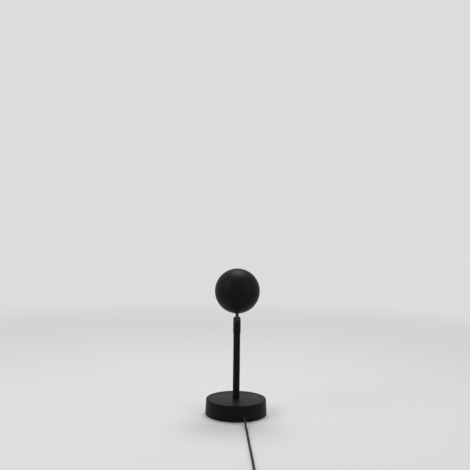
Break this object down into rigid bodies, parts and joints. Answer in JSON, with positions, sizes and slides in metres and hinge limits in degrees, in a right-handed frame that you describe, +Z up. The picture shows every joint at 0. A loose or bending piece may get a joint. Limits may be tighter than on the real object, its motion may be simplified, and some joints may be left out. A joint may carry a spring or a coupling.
{
  "type": "sunset projection lamp",
  "caption": "Sunset projection lamp: a ball head with a lens tilts on a slim pole over a weighted disc base, fed by a USB lead with a rocker switch.",
  "frame": {"origin": "centre of the base's underside, on the table", "axes": "+Z up along the pole; at rest the lens looks along +Y, and the lead leaves the base towards -Y"},
  "size_m": [0.09, 0.4208, 0.2135],
  "materials": {
    "satin_black": "satin black powder coat",
    "iron": "bare casting",
    "zinc_steel": "zinc plated",
    "plug_steel": "nickel plated sheet",
    "dark_screw": "blackened",
    "gunmetal": "dark nickel",
    "foot_rubber": "matt",
    "cord_pvc": "flexible PVC sheath",
    "wire_pvc": "thin insulated cores, one red and one black",
    "case_plastic": "fine moulded grain",
    "rocker_plastic": "gloss",
    "nylon": "natural",
    "brass": "plain",
    "aluminium": "extruded",
    "black_anodised": "black anodised",
    "board_white": "white solder mask on aluminium",
    "led_yellow": "phosphor under clear resin",
    "clear_glass": "polished",
    "orange_glass": "dyed, polished",
    "amber_glass": "polished, orange to red film"
  },
  "bodies": {
    "stand": {"base_cover": "satin_black", "base_weight": "iron", "base_plate": "zinc_steel", "base_pad": "foot_rubber", "plate_screws": "zinc_steel", "pole_nipple": "zinc_steel", "nipple_washer": "zinc_steel", "nipple_nut": "zinc_steel", "pole_tube": "satin_black", "pole_lead": "wire_pvc", "fork": "satin_black", "pivot_screw": "dark_screw", "friction_washers": "nylon", "cord_grommet": "foot_rubber", "cord_stub": "cord_pvc", "cord_stop": "nylon", "cord_lead": "cord_pvc", "cord_run": "cord_pvc", "cord_coil": "cord_pvc", "cord_tail": "cord_pvc", "coil_tie": "cord_pvc", "switch_lower_case": "case_plastic", "switch_upper_case": "case_plastic", "switch_contacts": "brass", "switch_screws": "zinc_steel", "plug_grip": "case_plastic", "plug_shell": "plug_steel", "plug_insulator": "nylon", "plug_contacts": "brass"},
    "head": {"head_shell": "satin_black", "head_tongue": "gunmetal", "tongue_nut": "zinc_steel", "head_lead": "wire_pvc", "heat_sink": "aluminium", "heat_sink_screws": "zinc_steel", "led_board": "board_white", "led_chip": "led_yellow", "board_screws": "zinc_steel", "optic_barrel": "black_anodised", "condenser_lens": "clear_glass", "filter_disc": "orange_glass", "front_lens": "amber_glass", "lens_gasket": "foot_rubber", "lens_ring": "satin_black"},
    "rocker": {"switch_rocker": "rocker_plastic"}
  },
  "joints": [
    {"name": "head_tilt", "type": "hinge", "parent": "stand", "child": "head", "pos_m": [0, 0, 0.1388], "axis": [1, 0, 0], "range_deg": [-90, 90]},
    {"name": "switch_rock", "type": "hinge", "parent": "stand", "child": "rocker", "pos_m": [0.0206, -0.287, 0.0082], "axis": [1, 0, 0], "range_deg": [0, 16]}
  ]
}
